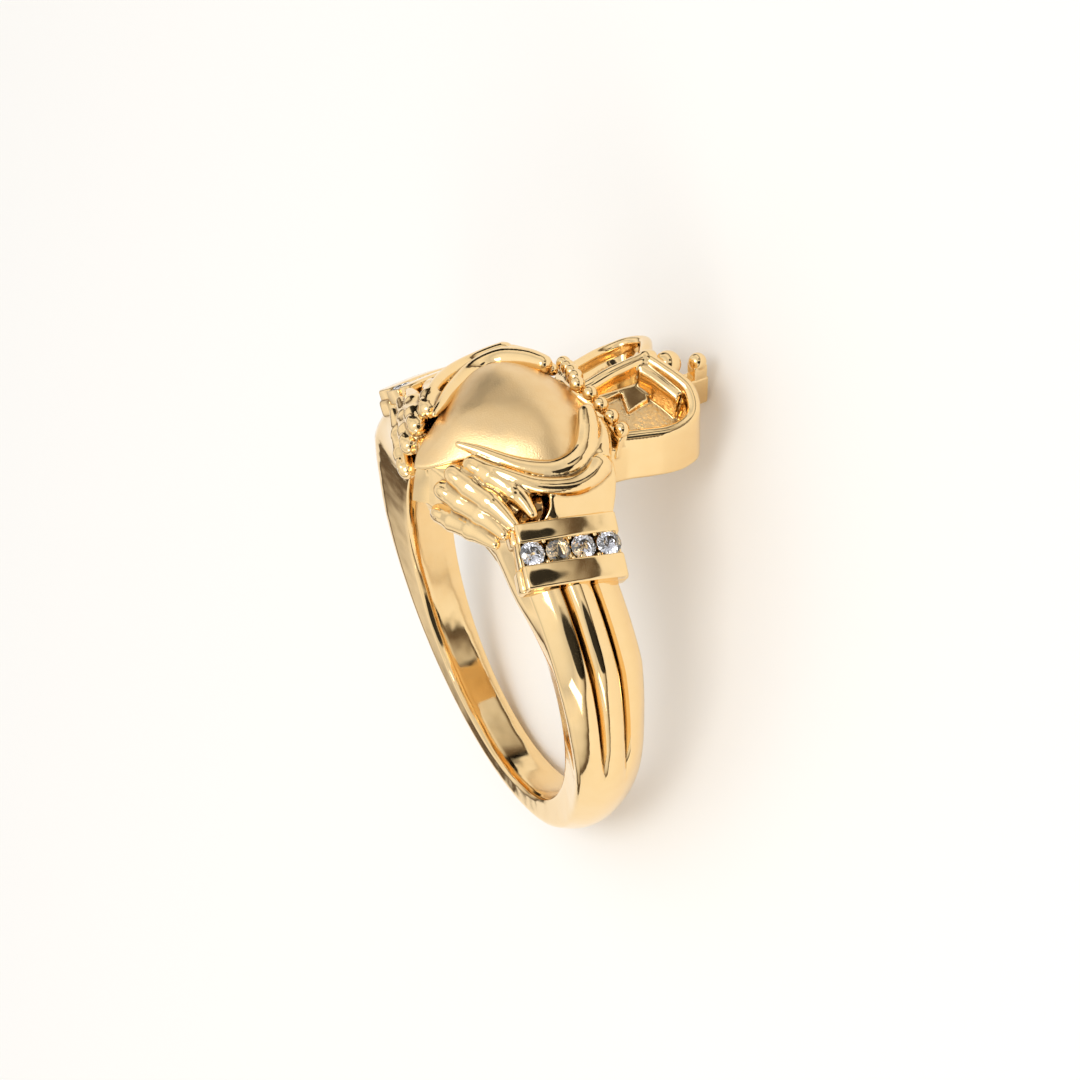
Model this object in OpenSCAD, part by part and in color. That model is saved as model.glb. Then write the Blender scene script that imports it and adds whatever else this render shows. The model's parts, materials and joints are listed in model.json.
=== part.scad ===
// Claddagh ring: two hands hold a crowned heart, and each cuff carries a row of stones.
// The ring is drawn upright, with the finger hole along X and the heart on top. It is then
// laid down on its crown side, where it comes to rest by itself.

/* [Band] */
// Radius of the finger hole
bore_r = 8.65; // [7:0.05:11]
// Thickness of the band at its foot
foot_t = 1.45; // [1:0.05:2]
// Width of the band at its foot
foot_w = 2.3; // [2:0.1:3.4]
// Thickness of the band at its shoulders
shoulder_t = 3.75; // [2.5:0.05:4.5]
// Width of the band at its shoulders
shoulder_w = 4.05; // [3.4:0.05:5]
// Width of the band inside the finger hole at its shoulders
inner_w = 2.8; // [2.2:0.1:3.4]
// Fall of the rounded face from its middle to its edges, at the foot
face_fall = 0.42; // [0.2:0.02:0.6]
// Depth of the two grooves between the band's ribs
groove_d = 0.3; // [0.1:0.05:0.5]

/* [Cuffs] */
// Angle from the top of the ring to the middle of the stones
cuff_angle = 34.5; // [32:0.1:36]
// Length of each bar
bar_l = 4.6; // [4.4:0.1:5.2]
// Width of each bar
bar_w = 0.92; // [0.7:0.02:1.1]
// Height of the bars over the band
bar_h = 0.3; // [0.2:0.05:0.6]
// Gap between the two bars of a cuff
channel_w = 0.96; // [0.8:0.02:1.05]
// Angle by which the cuffs spread apart towards the crown
splay = 11.5; // [8:0.5:14]

/* [Stones] */
// Number of stones in a cuff
stone_count = 4; // [3:1:4]
// Diameter of a stone
stone_d = 1.12; // [0.9:0.02:1.12]
// Space between two stones of a row
stone_space = 0.04; // [0.02:0.01:0.06]
// Clearance between a stone and its seat
seat_gap = 0.03; // [0.02:0.01:0.05]

/* [Heart] */
// Length of the heart from its tip to the crown
heart_l = 8.4; // [7.6:0.1:9]
// Width of the heart across its lobes
heart_w = 7.8; // [7:0.1:8.4]
// Height of the hands above the finger hole
heart_h = 4.3; // [3.8:0.1:4.8]
// Rise of the heart's dome above its edge
dome_h = 1.35; // [1:0.05:1.7]

/* [Hands] */
// Half the thickness of a thumb
thumb_r = 0.5; // [0.4:0.05:0.6]
// Half the thickness of a finger
finger_r = 0.54; // [0.46:0.02:0.6]
// Half the thickness of the rim along the back of a hand
rim_r = 0.42; // [0.3:0.02:0.5]

/* [Crown] */
// Length of the crown from the beads to its end
crown_l = 5.95; // [5.5:0.05:6.8]
// Width of the crown across its lobes
crown_w = 7.3; // [6.6:0.1:8]
// Height of the crown's underside above the finger hole
crown_lift = 0.55; // [0.4:0.05:0.8]
// Thickness of the crown's side walls
crown_t = 2; // [1.6:0.1:2.4]
// Depth of the floors below the side walls
floor_d = 0.25; // [0.2:0.05:0.6]
// Rise of the floors from the side walls to the arch
floor_rise = 1.05; // [0.5:0.05:1.3]
// Width of the rim around each lobe
crown_rim = 0.7; // [0.5:0.05:0.9]
// Height of the crown's arch above the side walls
arch_h = 2.3; // [1.9:0.05:2.6]
// Thickness of the arch
arch_w = 0.9; // [0.7:0.05:1.1]
// Number of beads in the row
bead_count = 9; // [7:1:9]
// Diameter of a bead
bead_d = 0.72; // [0.6:0.02:0.76]
// Bow of the row of beads towards the heart
bead_bow = 0.73; // [0.4:0.01:1]
// Rise of the row of beads from its ends to its middle
bead_rise = 0.93; // [0.5:0.01:1.2]
// Diameter of the orb behind the arch
orb_d = 1.25; // [1:0.05:1.4]
// Diameter of the ball at the crown's end
ball_d = 0.86; // [0.7:0.02:1]
// Width of the post under the ball
post_w = 0.8; // [0.6:0.05:0.9]
// Height of the post's underside above the crown's
post_lift = 0.5; // [0.3:0.05:0.8]

/* [Hidden] */

GOLD = [0.86, 0.66, 0.36];
DIAMOND = [0.9, 0.94, 0.98];
// Angle between two sections of the band
BAND_STEP = 5;
// Points across half of the band's face, as shares of its half width
GROOVE_AT = 0.33;
FACE_POINTS = [0, 0.2, GROOVE_AT, 0.46, 0.8, 1];
// Material below the finger hole's wall, which the hole then cuts away
SUNK = 0.4;
// Overlap of joined shapes
JOIN = 0.2;
STONE_SIDES = 16;
// Turn of each stone about its own axis
STONE_TURN = 9;

// Place of the heart's tip, with the heart set a little towards the crown
tip_x = -0.47 * heart_l;
beads_x = tip_x + heart_l + 0.75 * bead_d;
crown_end = beads_x + crown_l;
crown_z = bore_r + crown_lift;
wall_z = crown_z + crown_t;
floor_z = wall_z - floor_d;
ball_x = crown_end - ball_d / 2;
ball_z = wall_z + 0.85 * ball_d;
cuff_r = bore_r + shoulder_t;
bars_pitch = bar_w + channel_w;
// Distance of the cuffs from the ring's middle plane, which the hands reach to
reach = cuff_r * sin(cuff_angle) - bars_pitch / 2 - bar_w / 2;
stone_pitch = stone_d + stone_space;
girdle_z = cuff_r + bar_h - 0.2 * stone_d;

// The smooth curve through points b and c, between its neighbours a and d
function curve(a, b, c, d, t) =
    (2 * b + (c - a) * t + (2 * a - 5 * b + 4 * c - d) * t * t + (3 * b - a - 3 * c + d) * t * t * t) / 2;
// An open run of points made smooth, with n steps for each stretch
function smooth(p, n) = concat(
    [for (i = [0:len(p) - 2]) for (k = [0:n - 1])
        curve(p[max(i - 1, 0)], p[i], p[i + 1], p[min(i + 2, len(p) - 1)], k / n)],
    [p[len(p) - 1]]);
function unit(v) = v / norm(v);
function place_of(p) = [p[0], p[1], p[2]];
// Direction of a run of points at point i
function heading(p, i) = unit(place_of(p[min(i + 1, len(p) - 1)]) - place_of(p[max(i - 1, 0)]));

// A closed solid through rings that have equally many points
module loft(rings) {
    n = len(rings[0]);
    m = len(rings);
    polyhedron(
        points = [for (r = rings) for (p = r) p],
        faces = concat(
            [[for (i = [0:n - 1]) i]],
            [for (j = [0:m - 2]) for (i = [0:n - 1]) for (f = [
                [j * n + i, (j + 1) * n + i, j * n + (i + 1) % n],
                [j * n + (i + 1) % n, (j + 1) * n + i, (j + 1) * n + (i + 1) % n]]) f],
            [[for (i = [n - 1:-1:0]) (m - 1) * n + i]]));
}

// A round bar with its own radius at each point [x, y, z, radius]
module bar(path, side = [0, 0, 1], n = 8) {
    loft([for (i = [0:len(path) - 1])
        let (t = heading(path, i), s = unit(cross(side, t)), u = cross(t, s))
        [for (k = [0:n - 1])
            place_of(path[i]) + path[i][3] * (cos(360 * k / n) * s + sin(360 * k / n) * u)]]);
}

// A smooth round bar that closes to a point at both ends
module soft_bar(path, steps, side = [0, 0, 1], n = 8) {
    run = smooth(path, steps);
    last = len(run) - 1;
    bar(concat(
        [[for (c = [0:3]) c < 3 ? run[0][c] - 0.6 * run[0][3] * heading(run, 0)[c] : run[0][3] * 0.5]],
        run,
        [[for (c = [0:3]) c < 3 ? run[last][c] + 0.6 * run[last][3] * heading(run, last)[c]
            : run[last][3] * 0.5]]), side, n);
}

module both_sides() {
    children();
    mirror([0, 1, 0]) children();
}

// The band. Its sections are measured by the angle from the top of the ring.

// How far the head has grown out of the band at an angle: 0 on the band, 1 at the top
tip_grow = [[0, 1], [11, 0.6], [16, 0.37], [21, 0.2], [27, 0.08], [33, 0]];
crown_grow = [[0, 1], [12, 1], [20, 0.93], [27, 0.68], [33, 0.3], [39, 0]];
head_rise = [[0, 0.76], [10, 0.8], [18, 0.96], [23, 1.02], [28, 0.9]];
// How far the flanks swell under the cuffs, in mm, on the side of the heart's tip
flank_swell = [[0, 0], [10, 0.1], [18, 0.4], [26, 0.6], [38, 0.58], [48, 0.3], [60, 0]];
function band_share(a) = min(1, pow((180 - a) / 118, 2));
function band_r(a) = bore_r + foot_t + (shoulder_t - foot_t) * band_share(a);
function outer_r(a) = a > 30 ? band_r(a)
    : min(band_r(a) + heart_h, bore_r + heart_h * lookup(a, head_rise));
function half_width(a) = (foot_w + (shoulder_w - foot_w) * band_share(a)) / 2;
function half_inner(a) = (foot_w - 0.1 + (inner_w - foot_w + 0.1) * band_share(a)) / 2;
function low_x(a, half, end) = -half + (tip_x * end + half) * lookup(a, tip_grow);
function high_x(a, half, end) = half + (tip_x * -end - half) * lookup(a, crown_grow);
// The ribs start at the cuffs and fade out where the band turns under
function rib_share(a) = a < 30 ? 0 : max(0, min(1, (88 - a) / 14));
function face_drop(a, u) = face_fall * u * u * half_width(a) / (foot_w / 2) * min(1, a / 40)
    + groove_d * rib_share(a) * (u == GROOVE_AT ? 1 : 0);

function band_section(a) = let (
    lo = low_x(a, half_width(a), 0.98), hi = high_x(a, half_width(a), 1.04),
    lo_in = low_x(a, half_inner(a), 0.88), hi_in = high_x(a, half_inner(a), 0.88), side = bore_r - SUNK,
    swell = lookup(a, flank_swell), waist = (outer_r(a) - face_drop(a, 1) + side) / 2)
    concat(
        [for (i = [len(FACE_POINTS) - 1:-1:1]) let (u = FACE_POINTS[i])
            [lo + (hi - lo) * (1 - u) / 2, outer_r(a) - face_drop(a, u)]],
        [for (u = FACE_POINTS) [lo + (hi - lo) * (1 + u) / 2, outer_r(a) - face_drop(a, u)]],
        [[(hi + hi_in) / 2 + swell / 3, waist], [hi_in, side], [lo_in, side], [(lo + lo_in) / 2 - swell, waist]]);

// A section turned to its angle on either side of the ring
module band() {
    angles = [-180:BAND_STEP:180 - BAND_STEP];
    rings = [for (a = angles) [for (p = band_section(abs(a))) [p[0], -p[1] * sin(a), p[1] * cos(a)]]];
    n = len(rings[0]);
    m = len(rings);
    polyhedron(
        points = [for (r = rings) for (p = r) p],
        faces = [for (j = [0:m - 1]) for (i = [0:n - 1])
            let (k = (j + 1) % m, l = (i + 1) % n)
            for (f = [[j * n + i, j * n + l, k * n + i], [j * n + l, k * n + l, k * n + i]]) f]);
}

// The greatest half-width of the true round band, which its flat facets fall short of
span = max([for (a = [60:0.5:120]) band_r(a) * sin(a)]);

// The cuffs. Each is drawn on a flat that is set at the cuff's angle.

module at_cuff() {
    rotate([cuff_angle, 0, 0])
        translate([0.05 * shoulder_w, 0, 0])
            rotate([0, 0, -splay]) children();
}

// A bar with its upper edges taken off, from a depth in the band up to its top
module cuff_bar(l, w, depth, top) {
    bevel = 0.18 * bar_w;
    translate([0, 0, cuff_r])
        rotate([90, 0, 90])
            linear_extrude(l, center = true)
                polygon([[-w / 2, -depth], [w / 2, -depth], [w / 2, top - bevel],
                    [w / 2 - bevel, top], [bevel - w / 2, top], [-w / 2, top - bevel]]);
}

module cuff() {
    depth = shoulder_t / 3;
    // The bar on the band's side is a little wider
    for (s = [-1, 1])
        let (w = s < 0 ? 1.2 * bar_w : bar_w)
            translate([0, s * (channel_w + w) / 2, 0]) {
                cuff_bar(bar_l, w, depth, bar_h);
                cuff_bar(bar_l + 0.4 * bar_w, 0.9 * w, 0.9 * depth, bar_h / 2 - bar_w / 3);
            }
    // Floor of the channel, and the walls that close its ends
    cuff_bar(bar_l - 0.2 * bar_w, channel_w + JOIN, 0.8 * depth, -0.3 * bar_h);
    for (s = [-1, 1])
        translate([s * (bar_l / 2 - 0.3 * bar_w), 0, 0])
            cuff_bar(bar_w / 2, channel_w + 2 * JOIN, 0.7 * depth, bar_h / 2);
}

// The stones. Each has a table, a crown, a thin girdle and a pavilion.

girdle_h = 0.06 * stone_d;
culet_z = -0.43 * stone_d;

// A level ring of a stone, with every other corner drawn in to make an eight-sided table
function level(r, z, inset = 1) = [for (k = [0:STONE_SIDES - 1])
    let (a = STONE_TURN + 360 * k / STONE_SIDES, t = k % 2 == 0 ? r : r * inset) [t * cos(a), t * sin(a), z]];
function stone_x(k) = (k - (stone_count + 1) / 2) * stone_pitch;

module brilliant() {
    loft([level(0.02 * stone_d, culet_z), level(stone_d / 2, -girdle_h / 2), level(stone_d / 2, girdle_h / 2),
        level(0.3 * stone_d, 0.16 * stone_d, cos(360 / STONE_SIDES))]);
}

// Each seat follows its stone from the culet to the girdle, and then opens straight up
module seats() {
    r = stone_d / 2 + seat_gap;
    for (k = [1:stone_count])
        translate([stone_x(k), 0, girdle_z])
            loft([level(0.02 * stone_d + seat_gap, culet_z - seat_gap),
                level(r, -girdle_h / 2 - seat_gap), level(r, bar_w)]);
}

// The heart. Its plan runs from the tip to the crown, and its edge and crest follow the plan.

heart_plan = [[0, 0], [0.06, 0.17], [0.23, 0.42], [0.34, 0.62], [0.45, 0.84], [0.57, 0.99],
    [0.67, 1], [0.78, 0.89], [0.89, 0.64], [0.96, 0.36], [1, 0]];
edge_rise = [[0, 0.66], [0.1, 0.75], [0.25, 0.85], [0.5, 0.86], [0.8, 0.88], [1, 0.82]];
crest_rise = [[0, 0], [0.1, 0.35], [0.3, 0.85], [0.6, 1], [0.85, 0.75], [1, 0.35]];
dome_steps = [1, 0.97, 0.9, 0.78, 0.6, 0.38, 0.12];
heart_mid = 0.62;

function heart_point(p, s, sink) = let (
    u = heart_mid + (p[0] - heart_mid) * s,
    edge = bore_r + heart_h * lookup(u, edge_rise))
    [tip_x + u * heart_l, p[1] * s * heart_w / 2,
        edge + dome_h * lookup(u, crest_rise) * (1 - pow(s, 3.4)) - sink];

module heart() {
    half = smooth(heart_plan, 2);
    ring = concat([for (p = half) [p[0], -p[1]]], [for (i = [len(half) - 2:-1:1]) half[i]]);
    lean = [for (p = ring) [p[0] - 0.05 * max(0, 1 - p[0] * 5), p[1]]];
    loft(concat(
        [[for (p = lean) let (q = heart_point(p, 0.94, 0)) [q[0], q[1], bore_r + 0.3 * heart_h]],
            [for (p = ring) heart_point(p, 1, 0.35)]],
        [for (s = dome_steps) [for (p = ring) heart_point(p, s, 0)]]));
}

// The hands. Their points are shares of the heart's length from its tip, of the reach to the
// cuffs and of the heart's height, with the thickness as a share of the finger's or thumb's.

function hand_point(p, r) =
    [tip_x + p[0] * heart_l, -p[1] * reach, bore_r + p[2] * heart_h, p[3] * r];
function hand_path(points, r) = [for (p = points) hand_point(p, r)];

thumb = [[0.23, 0.27, 0.98, 0.5], [0.34, 0.44, 0.91, 0.7], [0.45, 0.59, 0.84, 0.9], [0.56, 0.71, 0.82, 1],
    [0.67, 0.75, 0.84, 1.1], [0.77, 0.7, 0.88, 1.2], [0.85, 0.54, 0.95, 1.15], [0.9, 0.38, 1, 0.95]];
back_rim = [[0.24, 0.51, 0.91, 0.5], [0.33, 0.64, 0.88, 0.8], [0.46, 0.81, 0.8, 1], [0.58, 0.89, 0.76, 1],
    [0.7, 0.91, 0.77, 1.1], [0.79, 0.87, 0.8, 1.4], [0.87, 0.72, 0.83, 1.3], [0.94, 0.52, 0.84, 1]];
palm = [[0.3, 0.59, 0.72, 1], [0.5, 0.78, 0.68, 1.3], [0.68, 0.84, 0.66, 1.4], [0.84, 0.76, 0.68, 1.3],
    [0.95, 0.57, 0.7, 0.9]];
fingers = [
    [[0.38, 0.95, 0.62, 0.5], [0.36, 0.79, 0.72, 0.9], [0.29, 0.59, 0.82, 1.02], [0.22, 0.41, 0.87, 0.95]],
    [[0.27, 0.97, 0.57, 0.55], [0.235, 0.76, 0.65, 0.95], [0.18, 0.55, 0.71, 1.05], [0.13, 0.35, 0.77, 0.95]],
    [[0.21, 0.96, 0.5, 0.55], [0.185, 0.76, 0.52, 0.92], [0.13, 0.54, 0.55, 1.02], [0.07, 0.32, 0.58, 0.92]],
    [[0.16, 0.95, 0.4, 0.5], [0.13, 0.74, 0.37, 0.88], [0.08, 0.52, 0.33, 0.95], [0.04, 0.31, 0.29, 0.9]]];

module finger(points) {
    path = hand_path(points, finger_r);
    soft_bar(path, 2);
    // Nail, a flat raised patch on the last joint
    last = len(path) - 1;
    nail = (place_of(path[last]) * 0.75 + place_of(path[last - 1]) * 0.25);
    out = unit([-0.7, 0.25 * sign(nail[1]), 0.7]);
    translate(nail + out * finger_r * 0.62)
        rotate([0, -45, 0])
            resize([finger_r, finger_r * 0.9, finger_r * 0.9]) sphere(finger_r / 2, $fn = 8);
}

module hand() {
    soft_bar(hand_path(thumb, thumb_r), 2);
    soft_bar(hand_path(back_rim, rim_r), 2);
    soft_bar(hand_path(palm, rim_r), 1);
    for (f = fingers) finger(f);
}

// The crown. Its plan is drawn in shares of its length from the beads and of its half width.

crown_plan = [[-0.35, 0.72], [0.04, 0.83], [0.14, 0.9], [0.25, 0.96], [0.37, 1], [0.48, 1],
    [0.56, 0.93], [0.62, 0.78], [0.665, 0.54], [0.7, 0.29], [0.715, 0.12]];

module crown_outline() {
    half = [for (p = smooth(crown_plan, 2)) [beads_x + p[0] * crown_l, p[1] * crown_w / 2]];
    polygon(concat(half, [for (i = [len(half) - 1:-1:0]) [half[i][0], -half[i][1]]]));
}

// Height of the arch along the crown
arch_rise = [[-0.1, 0.72], [0, 0.77], [0.15, 0.88], [0.3, 0.94], [0.42, 0.97], [0.49, 1], [0.55, 0.93]];
arm_path = [[0.47, 0, 0.98], [0.52, 0.16, 0.91], [0.59, 0.35, 0.79], [0.645, 0.55, 0.65], [0.63, 0.74, 0.49],
    [0.57, 0.87, 0.35], [0.46, 0.92, 0.26], [0.33, 0.91, 0.24], [0.18, 0.84, 0.25], [0.04, 0.76, 0.26]];
arch_skirt = [[0.03, 0], [0.03, -0.18], [0.24, -0.17], [0.21, -0.43], [0.43, -0.37], [0.45, -0.06],
    [0.5, -0.05], [0.5, 0]];

// A ridge along a path with walls down to the crown's floor
module ridge(path, w) {
    loft([for (i = [0:len(path) - 1])
        let (h = heading(path, i), s = unit([h[1], -h[0], 0]), p = place_of(path[i]), b = [p[0], p[1], floor_z - JOIN])
        [b - s * w * 0.62, p - s * w / 2 - [0, 0, w / 3], p - s * w / 4, p + s * w / 4,
            p + s * w / 2 - [0, 0, w / 3], b + s * w * 0.62]]);
}

function crown_point(p) = [beads_x + p[0] * crown_l, p[1] * crown_w / 2, wall_z + p[2] * arch_h];

module crown() {
    difference() {
        translate([0, 0, crown_z]) linear_extrude(crown_t) crown_outline();
        translate([0, 0, floor_z]) linear_extrude(crown_t) offset(-crown_rim) crown_outline();
    }
    // Floors that rise to the arch
    translate([beads_x - JOIN, 0, floor_z - 1.5 * JOIN])
        rotate([90, 0, 90])
            linear_extrude(0.58 * crown_l + JOIN)
                polygon([[-0.41 * crown_w, 0], [0.41 * crown_w, 0], [0, floor_rise + 1.5 * JOIN]]);
    ridge(smooth([for (p = arch_rise) crown_point([p[0], 0, p[1]])], 2), arch_w);
    both_sides() {
        ridge(smooth([for (p = arm_path) crown_point(p)], 2), crown_rim);
        translate([0, 0, floor_z - JOIN])
            linear_extrude(wall_z - floor_z + JOIN + arch_h / 4)
                polygon([for (p = arch_skirt) [beads_x + p[0] * crown_l, p[1] * crown_w / 2]]);
    }
}

// Share of the way from the middle of the row to its end, and a bead's place in the row
function bead_share(k) = abs(2 * k / (bead_count - 1) - 1);
function bead_place(k) = [beads_x - bead_bow * (1 - pow(bead_share(k), 0.7)),
    (k - (bead_count - 1) / 2) * 0.98 * bead_d,
    wall_z + 1.15 * bead_d + bead_rise * (1 - pow(bead_share(k), 1.3))];

module beads() {
    for (k = [0:bead_count - 1]) translate(bead_place(k)) sphere(bead_d / 2, $fn = 10);
    // Sill under the beads, against the heart
    ridge([for (k = [-0.4, for (i = [1:bead_count - 2]) i, bead_count - 0.6])
        bead_place(k) - [0, 0, bead_d / 4]], 1.3 * bead_d);
}

module orb() {
    translate([beads_x + 0.66 * crown_l, 0, wall_z + 0.95 * orb_d]) sphere(orb_d / 2, $fn = 14);
    translate([beads_x + 0.66 * crown_l, 0, floor_z]) cylinder(h = orb_d, r = orb_d / 3, $fn = 12);
}

// The post stands at the crown's end and carries the ball
module post() {
    translate([beads_x + 0.66 * crown_l, -post_w / 2, crown_z + post_lift])
        cube([0.34 * crown_l, post_w, crown_t - post_lift]);
    translate([ball_x - post_w * 0.45, -post_w * 0.45, crown_z + post_lift + JOIN])
        cube([post_w * 0.9, post_w * 0.9, ball_z - crown_z - post_lift - JOIN]);
    translate([ball_x, 0, ball_z]) sphere(ball_d / 2, $fn = 12);
}

module sculpted() {
    difference() {
        union() {
            band();
            heart();
            both_sides() {
                hand();
                at_cuff() cuff();
            }
            crown();
            beads();
            orb();
            post();
        }
        both_sides() at_cuff() seats();
    }
}

// The ring leans on the edge of its foot and on the lower corner of the crown's post.
foot_x = foot_w / 2;
foot_z = bore_r + foot_t - face_fall;
rest_tilt = atan2(crown_end - foot_x, crown_z + post_lift + foot_z);
rest_lift = foot_x * cos(rest_tilt) + foot_z * sin(rest_tilt);
back_end = -(foot_x * sin(rest_tilt) + foot_z * cos(rest_tilt));
front_end = ball_x * sin(rest_tilt) + ball_z * cos(rest_tilt) + ball_d / 2;

module laid_down() {
    translate([-(back_end + front_end) / 2, 0, rest_lift])
        rotate([0, 90 - rest_tilt, 0]) children();
}

module gold_ring() {
    color(GOLD)
        laid_down()
            difference() {
                // The facets of the band are brought out to its true width
                resize([0, 2 * span, 0]) sculpted();
                translate([tip_x * 2, 0, 0])
                    rotate([0, 90, 0]) cylinder(h = crown_end - 2 * tip_x, r = bore_r, $fn = 96);
            }
}

module stone(side, k) {
    color(DIAMOND)
        laid_down()
            mirror([0, side == "near" ? 0 : 1, 0])
                at_cuff()
                    translate([stone_x(k), 0, girdle_z]) brilliant();
}

gold_ring();
for (side = ["near", "far"])
    for (k = [1:stone_count])
        stone(side, k);
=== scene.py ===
"""Claddagh ring in pale gold: two hands hold a crowned heart, with four stones on each cuff.

Every shape is drawn with the ring upright, in millimetres, with the finger hole along X and
the heart on top. Each finished piece is then laid down where the frame has the ring.
"""

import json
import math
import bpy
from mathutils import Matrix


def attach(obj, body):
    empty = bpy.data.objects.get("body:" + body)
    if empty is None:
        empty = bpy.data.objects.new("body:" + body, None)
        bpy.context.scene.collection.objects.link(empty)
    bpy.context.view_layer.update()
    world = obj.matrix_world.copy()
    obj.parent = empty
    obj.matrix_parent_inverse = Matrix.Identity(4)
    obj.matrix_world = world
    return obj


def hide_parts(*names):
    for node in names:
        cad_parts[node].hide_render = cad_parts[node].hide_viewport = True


bl_info = {
    "name": "Claddagh Ring",
    "version": (1, 0, 0),
    "blender": (4, 5, 0),
    "location": "View3D > Sidebar > Ring",
    "description": "Builds a claddagh ring with a satin heart and rows of brilliant-cut stones",
    "category": "Add Mesh",
}

import bmesh
import bpy
import numpy as np
from bpy.props import FloatProperty, FloatVectorProperty, IntProperty, PointerProperty
from mathutils import Matrix, Vector

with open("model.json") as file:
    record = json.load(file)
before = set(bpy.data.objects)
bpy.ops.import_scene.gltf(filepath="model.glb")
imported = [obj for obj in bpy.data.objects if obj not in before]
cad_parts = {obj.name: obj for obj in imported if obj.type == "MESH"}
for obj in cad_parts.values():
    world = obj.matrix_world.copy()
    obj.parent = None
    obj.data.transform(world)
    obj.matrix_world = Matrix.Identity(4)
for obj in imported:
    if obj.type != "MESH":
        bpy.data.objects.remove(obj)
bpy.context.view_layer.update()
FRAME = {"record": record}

HOLE = FRAME["record"]["mounts"][0]
HOLE_R = HOLE["dims"]["r_mm"]
# The ring's own X, Y and Z in the frame, where its X runs against the mount's axis
RING_X = -Vector(HOLE["axis"]).normalized()
RING_Y = Vector((0, 1, 0))
RING_Z = RING_X.cross(RING_Y)
MM = 0.001
LAID_DOWN = (Matrix.Translation(Vector(HOLE["pos_m"]))
             @ Matrix((RING_X, RING_Y, RING_Z)).transposed().to_4x4() @ Matrix.Scale(MM, 4))


def length(name, description, mm):
    """A length that is given in millimetres and held in metres."""
    return FloatProperty(name=name, description=description, default=mm * MM, unit="LENGTH", precision=5)


class BandSizes(bpy.types.PropertyGroup):
    foot_t: length("Foot Thickness", "Thickness of the band at its foot", 1.45)
    foot_w: length("Foot Width", "Width of the band at its foot", 2.3)
    shoulder_t: length("Shoulder Thickness", "Thickness of the band at its shoulders", 3.75)
    shoulder_w: length("Shoulder Width", "Width of the band at its shoulders", 4.05)
    inner_w: length("Inner Width", "Width of the band in the finger hole at its shoulders", 2.8)
    face_fall: length("Face Fall", "Fall of the rounded face to its edges, at the foot", 0.42)
    groove_d: length("Groove Depth", "Depth of the grooves between the ribs", 0.3)


class CuffSizes(bpy.types.PropertyGroup):
    angle: FloatProperty(name="Cuff Angle", description="Angle from the top of the ring to the stones",
                         default=math.radians(34.5), subtype="ANGLE")
    splay: FloatProperty(name="Splay", description="Angle by which the cuffs spread towards the crown",
                         default=math.radians(11.5), subtype="ANGLE")
    bar_l: length("Bar Length", "Length of each bar", 4.6)
    bar_w: length("Bar Width", "Width of each bar", 0.92)
    bar_h: length("Bar Height", "Height of the bars over the band", 0.3)
    channel_w: length("Channel Width", "Gap between the two bars", 0.96)
    stone_d: length("Stone Diameter", "Diameter of each stone", 1.12)
    stone_pitch: length("Stone Pitch", "Distance between two stones", 1.16)
    stone_count: IntProperty(name="Stones", description="Number of stones on a cuff", default=4)


class HeadSizes(bpy.types.PropertyGroup):
    heart_l: length("Heart Length", "Length of the heart from its tip to the crown", 8.4)
    heart_w: length("Heart Width", "Width of the heart across its lobes", 7.8)
    hand_h: length("Hand Height", "Height of the hands above the finger hole", 4.3)
    dome_h: length("Dome Height", "Rise of the heart's dome above its edge", 1.35)
    thumb_r: length("Thumb Radius", "Half the thickness of a thumb", 0.5)
    finger_r: length("Finger Radius", "Half the thickness of a finger", 0.54)
    rim_r: length("Rim Radius", "Half the thickness of the rim of a hand", 0.42)


class CrownSizes(bpy.types.PropertyGroup):
    crown_l: length("Crown Length", "Length from the beads to the end of the post", 5.95)
    crown_w: length("Crown Width", "Width across the lobes", 7.3)
    lift: length("Lift", "Height of the underside above the finger hole", 0.55)
    plate_t: length("Plate Thickness", "Thickness of the side walls", 2.0)
    floor_d: length("Floor Depth", "Depth of the floors below the side walls", 0.25)
    floor_rise: length("Floor Rise", "Rise of the floors from the side walls to the arch", 1.05)
    arch_h: length("Arch Height", "Height of the arch above the side walls", 2.3)
    bead_d: length("Bead Diameter", "Diameter of each bead", 0.72)
    bead_bow: length("Bead Bow", "Bow of the beads towards the heart", 0.73)
    bead_rise: length("Bead Rise", "Rise of the beads to the middle of their row", 0.93)
    orb_d: length("Orb Diameter", "Diameter of the orb behind the arch", 1.25)
    ball_d: length("Ball Diameter", "Diameter of the ball on the post", 0.86)
    post_w: length("Post Width", "Width of the post under the ball", 0.8)
    post_lift: length("Post Lift", "Height of the underside of the post above the crown's", 0.5)
    bead_count: IntProperty(name="Beads", description="Number of beads in the row", default=9)


class Looks(bpy.types.PropertyGroup):
    gold: FloatVectorProperty(name="Gold", description="Colour of the gold", size=3, subtype="COLOR",
                              default=(0.95, 0.71, 0.385))
    satin: FloatVectorProperty(name="Satin Gold", description="Colour of the satin heart", size=3,
                               subtype="COLOR", default=(0.9, 0.66, 0.36))
    floor: FloatVectorProperty(name="Floor", description="Colour of the floor", size=3,
                               subtype="COLOR", default=(0.93, 0.91, 0.87))


SIZES = {"ring_band": BandSizes, "ring_cuff": CuffSizes, "ring_head": HeadSizes,
         "ring_crown": CrownSizes, "ring_looks": Looks}


def sizes(group):
    """The sizes of a group in millimetres, and its other values as they are."""
    held = getattr(bpy.context.scene, group)
    found = {}
    for name, prop in held.bl_rna.properties.items():
        if name in ("rna_type", "name"):
            continue
        value = getattr(held, name)
        found[name] = value / MM if getattr(prop, "unit", "NONE") == "LENGTH" else value
    return type("Sizes", (), found)


# Curves and lofts

def between(table, a):
    """Value of a table of [place, value] at a."""
    for (x0, y0), (x1, y1) in zip(table, table[1:]):
        if a <= x1:
            t = min(1, max(0, (a - x0) / (x1 - x0)))
            return y0 + (y1 - y0) * t
    return table[-1][1]


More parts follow.
